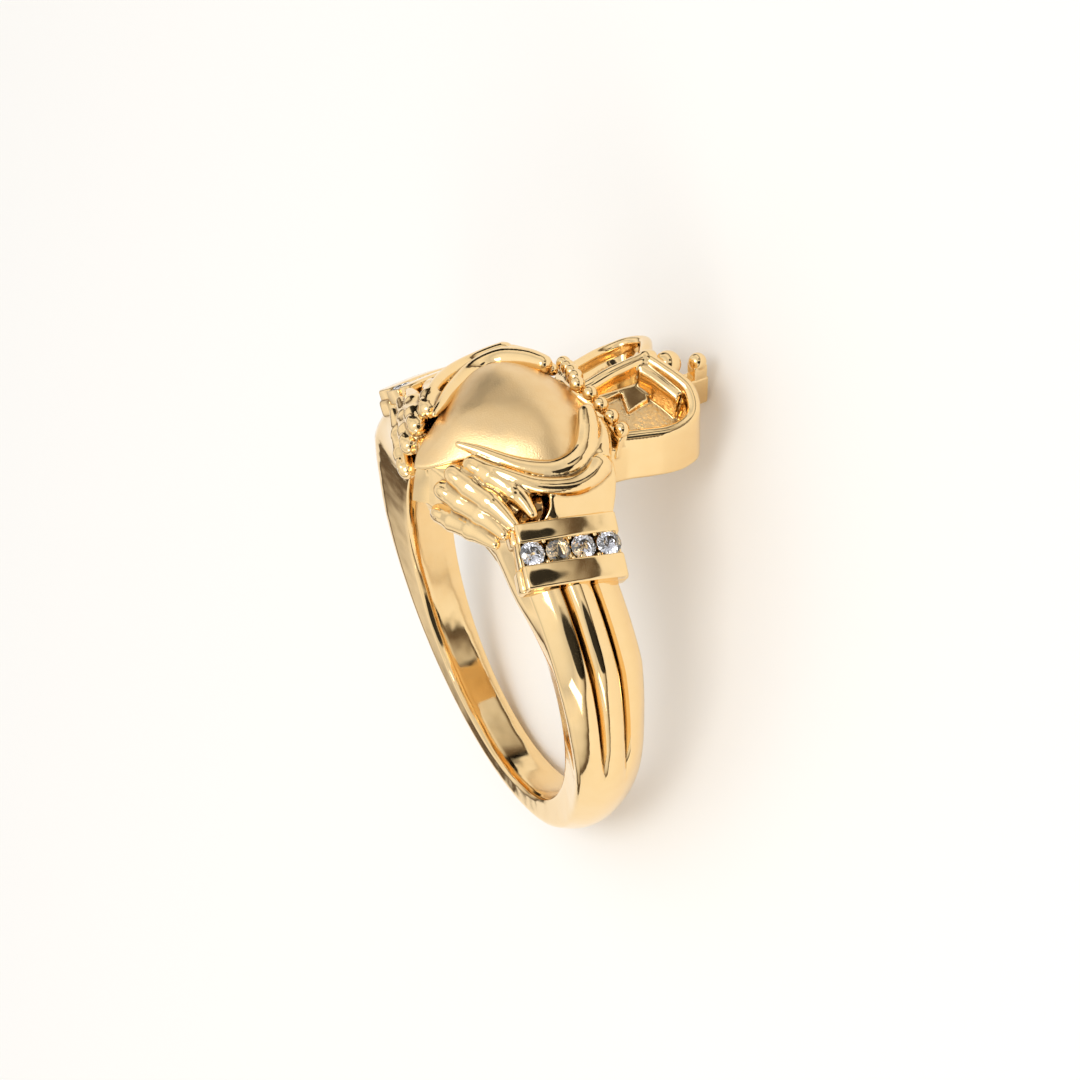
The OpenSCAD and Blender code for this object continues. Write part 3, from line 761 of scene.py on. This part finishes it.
# The crown. Its points are shares of its length from the beads, of half its width, and of the
# arch's height over the side walls.
CROWN_PLAN = [[-0.35, 0.8], [-0.1, 0.83], [0.04, 0.86], [0.14, 0.91], [0.25, 0.96], [0.37, 1], [0.48, 1],
              [0.56, 0.93], [0.62, 0.78], [0.665, 0.54], [0.7, 0.29], [0.715, 0.12]]
ARCH_RISE = [[-0.1, 0.72], [0, 0.77], [0.15, 0.88], [0.3, 0.94], [0.42, 0.97], [0.49, 1], [0.55, 0.93]]
ARM_PATH = [[0.47, 0, 0.98], [0.52, 0.16, 0.91], [0.59, 0.35, 0.79], [0.645, 0.55, 0.65],
            [0.63, 0.74, 0.49], [0.57, 0.87, 0.35], [0.46, 0.92, 0.26], [0.33, 0.91, 0.24],
            [0.18, 0.84, 0.25], [0.02, 0.76, 0.26]]
SKIRT = [[0.03, 0.02], [0.03, -0.16], [0.21, -0.13], [0.19, -0.37], [0.39, -0.3], [0.39, -0.08],
         [0.46, -0.04], [0.46, 0.02]]
# Height of the skirts at the arch, above the finger hole's middle, and their fall for each mm away
SKIRT_TOP, SKIRT_FALL = 12.4, 0.62
CORNER = [[0.42, 0.05, 0.84], [0.48, 0.18, 0.76], [0.55, 0.37, 0.6], [0.6, 0.54, 0.46]]
# Where the arch splits into its arms
JUNCTION = [0.475, 0, 0.98]
# Where the sloping floors end: share of the crown's width from its middle, depth there below the
# level that the side walls stand on, in mm, and share of its length
FLOOR_HALF, FLOOR_LOW, FLOOR_END = 0.41, 0.3, 0.58


def beads_x(h, w):
    """Place of the row of beads, across the band, from which the crown is measured."""
    return tip_x(h) + h.heart_l + 0.75 * w.bead_d


def bead_place(h, w, k):
    """Middle of a bead, in a row that bows towards the heart and rises to its middle."""
    wall_z = HOLE_R + w.lift + w.plate_t
    last = w.bead_count - 1
    share = abs(2 * k / last - 1)
    return Vector((beads_x(h, w) - w.bead_bow * (1 - share ** 0.7), (k - last / 2) * 0.98 * w.bead_d,
                   wall_z + 1.15 * w.bead_d + w.bead_rise * (1 - share ** 1.3)))


class RING_OT_crown(bpy.types.Operator):
    """Makes the crown: plate, rims, arch, arms, skirts and the textured floors"""
    bl_idname = "ring.crown"
    bl_label = "Crown"

    def execute(self, context):
        h, w = sizes("ring_head"), sizes("ring_crown")
        base_z = HOLE_R + w.lift
        wall_z = base_z + w.plate_t
        floor_z = wall_z - w.floor_d
        start = beads_x(h, w)

        def at(p):
            return [start + p[0] * w.crown_l, p[1] * w.crown_w / 2, wall_z + p[2] * w.arch_h]
        bm = bmesh.new()
        half = [[start + x * w.crown_l, y * w.crown_w / 2] for x, y in smooth(CROWN_PLAN, 4)]
        plan = half + [[x, -y] for x, y in reversed(half)]
        middle = Vector((start + 0.25 * w.crown_l, 0))

        def level(z, inset):
            ring = []
            for x, y in plan:
                out = Vector((x, y)) - middle
                spot = middle + out * (1 - inset / out.length)
                ring.append(Vector((spot.x, spot.y, z)))
            return ring
        loft(bm, [level(base_z, 0.12), level(base_z + 0.04, 0.04), level(base_z + 0.14, 0),
                  level(floor_z, 0), level(floor_z, 0.3)])
        low_z = floor_z - FLOOR_LOW
        loft(bm, [level(low_z, 0), level(wall_z - 0.06, 0), level(wall_z, 0.07),
                  level(wall_z, 0.42), level(wall_z - 0.2, 0.55), level(low_z, 0.6)], closed=True)
        wall_along(bm, smooth([at([x, 0, z]) for x, z in ARCH_RISE], 4), 0.56, 0.55, 0.55, floor_z - 0.2)
        for s in (-1, 1):
            arm = smooth([at([x, s * y, z]) for x, y, z in ARM_PATH], 5)
            wall_along(bm, arm, 0.6, *(0.3, 0.33)[::s], base_z + 0.12)
            # The arm's inner side slopes down to the floor
            slope = [[x, y, z - 0.28] for x, y, z in arm]
            wall_along(bm, slope, 0.5, *(0.75, 0.1)[::s], floor_z - 0.1)
            # The corner between the arch and the arm is filled
            wall_along(bm, smooth([at([x, s * y, z]) for x, y, z in CORNER], 4), 0.9, 0.6, 0.6, floor_z - 0.1)
            skirt = [[start + x * w.crown_l, s * y * w.crown_w / 2] for x, y in SKIRT]
            if s < 0:
                skirt.reverse()
            loft(bm, [[(x, y, floor_z - 0.2) for x, y in skirt],
                      [(x, y, SKIRT_TOP - SKIRT_FALL * abs(y)) for x, y in skirt]])
        # Floors that rise from the side walls to the arch
        roof = ((-FLOOR_HALF, -FLOOR_LOW), (0, w.floor_rise), (FLOOR_HALF, -FLOOR_LOW), (0, -0.5))
        loft(bm, [[(x, y * w.crown_w, floor_z + z) for y, z in roof]
                  for x in (start - 0.2, start + FLOOR_END * w.crown_l)])
        ball(bm, Vector(at(JUNCTION)) - Vector((0, 0, 0.4)), 0.44, 20, 14)
        # The sill that carries the beads
        places = (-0.3, *range(1, w.bead_count - 1), w.bead_count - 0.7)
        sill = [bead_place(h, w, k) - Vector((0, 0, 0.2)) for k in places]
        wall_along(bm, smooth([list(p) for p in sill], 3), 0.75, 0.5, 0.4, wall_z - 0.5)
        new = melted(bm, 0.048, 2)
        new.normal_update()
        # Only the floors keep the rough skin of the casting
        for face in new.faces:
            spot = face.calc_center_median()
            rise = (w.floor_rise + FLOOR_LOW) * (1 - abs(spot.y) / (FLOOR_HALF * w.crown_w))
            deep = abs(spot.z - max(low_z + rise, floor_z)) < 0.07 and face.normal.z > 0.8
            face.material_index = 1 if deep and spot.x > start + 0.3 else 0
        piece("crown", new, [polished_gold(), cast_gold()])
        return {"FINISHED"}


class RING_OT_trim(bpy.types.Operator):
    """Makes the row of beads, the orb, and the post with its ball"""
    bl_idname = "ring.trim"
    bl_label = "Beads, Orb and Post"

    def execute(self, context):
        h, w = sizes("ring_head"), sizes("ring_crown")
        base_z = HOLE_R + w.lift
        wall_z = base_z + w.plate_t
        end = beads_x(h, w) + w.crown_l - 0.012
        orb_x = beads_x(h, w) + 0.66 * w.crown_l
        bm = bmesh.new()
        for k in range(w.bead_count):
            ball(bm, bead_place(h, w, k), w.bead_d / 2)
        ball(bm, (orb_x, 0, wall_z + 0.95 * w.orb_d), w.orb_d / 2, 36, 24)
        tube(bm, [[orb_x, 0, z, w.orb_d / 3] for z in (wall_z - 0.4, wall_z + 0.8)], side=(0, 1, 0), n=16)
        ball_x, ball_z = end - w.ball_d / 2, wall_z + 0.85 * w.ball_d
        ball(bm, (ball_x, 0, ball_z), w.ball_d / 2)
        half = w.post_w / 2
        box(bm, (end - 0.34 * w.crown_l, -half, base_z + w.post_lift), (end - 0.02, half, wall_z), 0.12, 4)
        half *= 0.9
        box(bm, (ball_x - half, -half, wall_z - 0.4), (ball_x + half, half, ball_z - 0.06), 0.1, 4)
        tidy(bm, 50)
        piece("beads_orb_and_post", bm, [polished_gold()])
        return {"FINISHED"}


# Materials

# Sockets of a Mix node for two colours and its result
MIX_A, MIX_B, MIX_RESULT = 6, 7, 2


def node(tree, kind, values=(), **settings):
    """A new shader node with some of its sockets' values and of its settings."""
    made = tree.nodes.new("ShaderNode" + kind)
    for name, setting in settings.items():
        setattr(made, name, setting)
    for name, value in dict(values).items():
        made.inputs[name].default_value = value
    return made


def new_material(name, values=()):
    """A new material, its nodes and its shader with these values."""
    material = bpy.data.materials.new(name)
    material.use_nodes = True
    shader = material.node_tree.nodes["Principled BSDF"]
    for key, value in dict(values).items():
        shader.inputs[key].default_value = value
    return material, material.node_tree, shader


def metal_skin():
    """Soft waves of a polished casting, fine rubbing marks, and grain."""
    group = bpy.data.node_groups.get("Metal Skin")
    if group:
        return group
    group = bpy.data.node_groups.new("Metal Skin", "ShaderNodeTree")
    socket = group.interface.new_socket
    for name, value in (("Wave", 0.3), ("Grain", 0.1), ("Grain Size", 9000), ("Rough Low", 0.06),
                        ("Rough High", 0.14)):
        socket(name=name, in_out="INPUT", socket_type="NodeSocketFloat").default_value = value
    for name in ("Height", "Roughness", "Shade"):
        socket(name=name, in_out="OUTPUT", socket_type="NodeSocketFloat")
    link = group.links.new
    enter, leave = group.nodes.new("NodeGroupInput"), group.nodes.new("NodeGroupOutput")
    place = node(group, "TexCoord")
    wave = node(group, "TexNoise", {"Scale": 420, "Detail": 2})
    grain = node(group, "TexNoise", {"Detail": 4})
    smear = node(group, "TexNoise", {"Scale": 1500, "Detail": 5})
    for noise in (wave, grain, smear):
        link(place.outputs["Object"], noise.inputs["Vector"])
    link(enter.outputs["Grain Size"], grain.inputs["Scale"])
    height = node(group, "Math")
    for i, (noise, amount) in enumerate(((wave, "Wave"), (grain, "Grain"))):
        scaled = node(group, "Math", operation="MULTIPLY")
        link(noise.outputs["Fac"], scaled.inputs[0])
        link(enter.outputs[amount], scaled.inputs[1])
        link(scaled.outputs[0], height.inputs[i])
    spread = node(group, "MapRange", {"From Min": 0.35, "From Max": 0.7})
    link(smear.outputs["Fac"], spread.inputs["Value"])
    link(enter.outputs["Rough Low"], spread.inputs["To Min"])
    link(enter.outputs["Rough High"], spread.inputs["To Max"])
    link(height.outputs[0], leave.inputs["Height"])
    link(spread.outputs["Result"], leave.inputs["Roughness"])
    link(smear.outputs["Fac"], leave.inputs["Shade"])
    return group


def gold_finish(name, colour, wave, grain, grain_size, low, high, bump):
    """A gold with so much wave, grain and bump, its roughness from low to high, with painted shade in its
    creases.
    """
    if name in bpy.data.materials:
        return bpy.data.materials[name]
    material, tree, shader = new_material(name, {"Metallic": 1})
    link = tree.links.new
    skin = tree.nodes.new("ShaderNodeGroup")
    skin.node_tree = metal_skin()
    for key, value in (("Wave", wave), ("Grain", grain), ("Grain Size", grain_size), ("Rough Low", low),
                       ("Rough High", high)):
        skin.inputs[key].default_value = value
    tint = node(tree, "Mix", data_type="RGBA")
    tint.inputs[MIX_A].default_value = (*colour, 1)
    tint.inputs[MIX_B].default_value = (colour[0] * 0.97, colour[1] * 0.92, colour[2] * 0.82, 1)
    link(skin.outputs["Shade"], tint.inputs[0])
    # Painted shade: the crease mark mixes the colour towards a dark brown
    crease = node(tree, "Attribute", attribute_name="crease")
    depth = node(tree, "MapRange", {"From Min": 0.15, "From Max": 0.9, "To Max": 0.85})
    link(crease.outputs["Fac"], depth.inputs["Value"])
    painted_shade = node(tree, "Mix", data_type="RGBA")
    painted_shade.inputs[MIX_B].default_value = (0.16, 0.075, 0.02, 1)
    link(depth.outputs["Result"], painted_shade.inputs[0])
    link(tint.outputs[MIX_RESULT], painted_shade.inputs[MIX_A])
    link(painted_shade.outputs[MIX_RESULT], shader.inputs["Base Color"])
    link(skin.outputs["Roughness"], shader.inputs["Roughness"])
    relief = node(tree, "Bump", {"Strength": bump, "Distance": 0.0001})
    link(skin.outputs["Height"], relief.inputs["Height"])
    link(relief.outputs["Normal"], shader.inputs["Normal"])
    return material


def polished_gold():
    return gold_finish("Polished Gold", bpy.context.scene.ring_looks.gold, wave=1, grain=0,
                       grain_size=9000, low=0.05, high=0.12, bump=0.5)


def satin_gold():
    return gold_finish("Satin Gold", bpy.context.scene.ring_looks.satin, wave=1, grain=0.25,
                       grain_size=14000, low=0.3, high=0.42, bump=0.5)


def cast_gold():
    return gold_finish("Cast Floor Gold", bpy.context.scene.ring_looks.satin, wave=0.5, grain=1,
                       grain_size=5200, low=0.22, high=0.4, bump=0.9)


def diamond():
    """Clear stone with a little dust on it."""
    material, tree, shader = new_material("Diamond", {"Base Color": (0.97, 0.98, 1, 1),
                                                      "Transmission Weight": 1, "IOR": 2.417})
    place = node(tree, "TexCoord")
    dust = node(tree, "TexNoise", {"Scale": 6000})
    spread = node(tree, "MapRange", {"From Min": 0.5, "To Max": 0.03})
    tree.links.new(place.outputs["Object"], dust.inputs["Vector"])
    tree.links.new(dust.outputs["Fac"], spread.inputs["Value"])
    tree.links.new(spread.outputs["Result"], shader.inputs["Roughness"])
    return material


def facet(name, shade):
    """Lower facet of a stone, a mirror of this shade: a bright one sends back the light that came in through
    the table, and a dark one is a painted dark reflection.
    """
    return new_material(name, {"Base Color": (shade, shade, shade * 1.03, 1), "Metallic": 1,
                               "Roughness": 0.03})[0]


# Shade of the studio by height, from the horizon and below it at 0 to straight up at 1
STUDIO_SHADES = ((0.0, (0.1, 0.08, 0.06)), (0.06, (0.16, 0.12, 0.09)), (0.12, (0.55, 0.52, 0.48)),
                 (0.2, (0.8, 0.78, 0.76)), (0.38, (1.05, 1.03, 1.0)), (0.62, (0.72, 0.72, 0.74)),
                 (0.8, (0.95, 0.95, 0.95)), (1.0, (1.1, 1.1, 1.1)))
# Direction, width and soft edge of each dark card, seen from the ring
STUDIO_CARDS = [((0.84, -0.42, 0.3), 0.14, 0.04), ((0.32, -0.86, 0.3), 0.3, 0.05),
                ((0.5, 0.85, 0.1), 0.2, 0.1)]
# The photograph's camera: azimuth, elevation and roll in degrees and distance in mm from the
# middle of the finger hole, focal length and middle of the lens in pixels, and side of the frame
CAMERA_TURN, CAMERA_AWAY = (23.81, 43.27, -3.44), 103.41
CAMERA_FOCAL, CAMERA_CENTRE, FRAME_SIDE = 2126.6, (505.0, 624.5), 1080
SENSOR = 36


class RING_OT_stage(bpy.types.Operator):
    """Makes the pale floor, the soft studio light and the camera"""
    bl_idname = "ring.stage"
    bl_label = "Stage"

    def execute(self, context):
        scene = context.scene
        looks = scene.ring_looks
        bm = bmesh.new()
        bmesh.ops.create_grid(bm, x_segments=8, y_segments=8, size=0.6)
        mesh = bpy.data.meshes.new("floor")
        bm.to_mesh(mesh)
        bm.free()
        floor = placed("floor", mesh)
        mesh.materials.append(new_material("Floor", {"Base Color": (*looks.floor, 1),
                                                     "Roughness": 0.7})[0])

        world = bpy.data.worlds.new("Studio")
        scene.world = world
        world.use_nodes = True
        tree, link = world.node_tree, world.node_tree.links.new
        way, split, ramp = (node(tree, kind) for kind in ("TexCoord", "SeparateXYZ", "ValToRGB"))
        link(way.outputs["Generated"], split.inputs[0])
        link(split.outputs["Z"], ramp.inputs["Fac"])
        # A new ramp has a stop at each of its ends, at 0 and at 1
        for stop, (_, shade) in zip(ramp.color_ramp.elements, (STUDIO_SHADES[0], STUDIO_SHADES[-1])):
            stop.color = (*shade, 1)
        for high, shade in STUDIO_SHADES[1:-1]:
            ramp.color_ramp.elements.new(high).color = (*shade, 1)
        # Dark cards of the studio, which give the polished gold its black streaks
        shade = ramp.outputs["Color"]
        for toward, width, edge in STUDIO_CARDS:
            lean = node(tree, "VectorMath", operation="DISTANCE")
            lean.inputs[1].default_value = Vector(toward).normalized()
            link(way.outputs["Generated"], lean.inputs[0])
            fade = node(tree, "MapRange", {"From Min": width, "From Max": width + edge, "To Min": 0.04},
                        interpolation_type="SMOOTHSTEP")
            link(lean.outputs["Value"], fade.inputs["Value"])
            dim = node(tree, "Mix", data_type="RGBA", blend_type="MULTIPLY")
            dim.inputs[0].default_value = 1
            link(shade, dim.inputs[MIX_A])
            link(fade.outputs["Result"], dim.inputs[MIX_B])
            shade = dim.outputs[MIX_RESULT]
        link(shade, tree.nodes["Background"].inputs["Color"])

        def lamp(name, where, size, power):
            data = bpy.data.lights.new(name, "AREA")
            data.shape = "RECTANGLE"
            data.size, data.size_y = size
            data.energy = power
            made = placed(name, data)
            made.location = where
            toward = Vector((0, 0, 0.005)) - Vector(where)
            made.rotation_euler = toward.to_track_quat("-Z", "Y").to_euler()
        lamp("Top Light", (0.1, -0.12, 0.35), (0.16, 0.16), 0.35)
        lamp("Left Light", (-0.2, -0.3, 0.2), (0.12, 0.2), 0.2)

        az, el, roll = (math.radians(v) for v in CAMERA_TURN)
        back = Vector((-math.sin(az) * math.cos(el), -math.cos(az) * math.cos(el), math.sin(el)))
        right = Vector((math.cos(az), -math.sin(az), 0))
        up = back.cross(right)
        turned = math.cos(roll) * right + math.sin(roll) * up
        upward = math.cos(roll) * up - math.sin(roll) * right
        data = bpy.data.cameras.new("Camera")
        data.sensor_width = SENSOR
        data.lens = SENSOR * CAMERA_FOCAL / FRAME_SIDE
        data.shift_x = (FRAME_SIDE / 2 - CAMERA_CENTRE[0]) / FRAME_SIDE
        data.shift_y = (CAMERA_CENTRE[1] - FRAME_SIDE / 2) / FRAME_SIDE
        data.clip_start = 0.001
        camera = placed("Camera", data)
        scene.camera = camera
        turn = LAID_DOWN.to_3x3() * (1 / MM)
        axes = Matrix([turn @ v for v in (turned, upward, back)]).transposed()
        camera.matrix_world = Matrix.Translation(LAID_DOWN @ (back * CAMERA_AWAY)) @ axes.to_4x4()
        scene.view_settings.view_transform = "Standard"
        return {"FINISHED"}


OPERATORS = (RING_OT_band, RING_OT_cuffs, RING_OT_stones, RING_OT_heart, RING_OT_hands, RING_OT_seat,
             RING_OT_crown, RING_OT_trim, RING_OT_stage)


class RING_PT_parts(bpy.types.Panel):
    """Lists the pieces of the ring and their sizes"""
    bl_label = "Claddagh Ring"
    bl_idname = "RING_PT_parts"
    bl_space_type = "VIEW_3D"
    bl_region_type = "UI"
    bl_category = "Ring"

    def draw(self, context):
        for operator in OPERATORS:
            self.layout.operator(operator.bl_idname)
        for group in SIZES:
            block = self.layout.box()
            held = getattr(context.scene, group)
            for name in held.bl_rna.properties.keys():
                if name not in ("rna_type", "name"):
                    block.prop(held, name)


def register():
    for group in SIZES.values():
        bpy.utils.register_class(group)
    for name, group in SIZES.items():
        setattr(bpy.types.Scene, name, PointerProperty(type=group))
    for operator in OPERATORS:
        bpy.utils.register_class(operator)
    bpy.utils.register_class(RING_PT_parts)


def unregister():
    bpy.utils.unregister_class(RING_PT_parts)
    for operator in reversed(OPERATORS):
        bpy.utils.unregister_class(operator)
    for name, group in SIZES.items():
        delattr(bpy.types.Scene, name)
        bpy.utils.unregister_class(group)


def main():
    register()
    for operator in OPERATORS:
        group, name = operator.bl_idname.split(".")
        getattr(getattr(bpy.ops, group), name)()


if __name__ == "__main__":
    main()
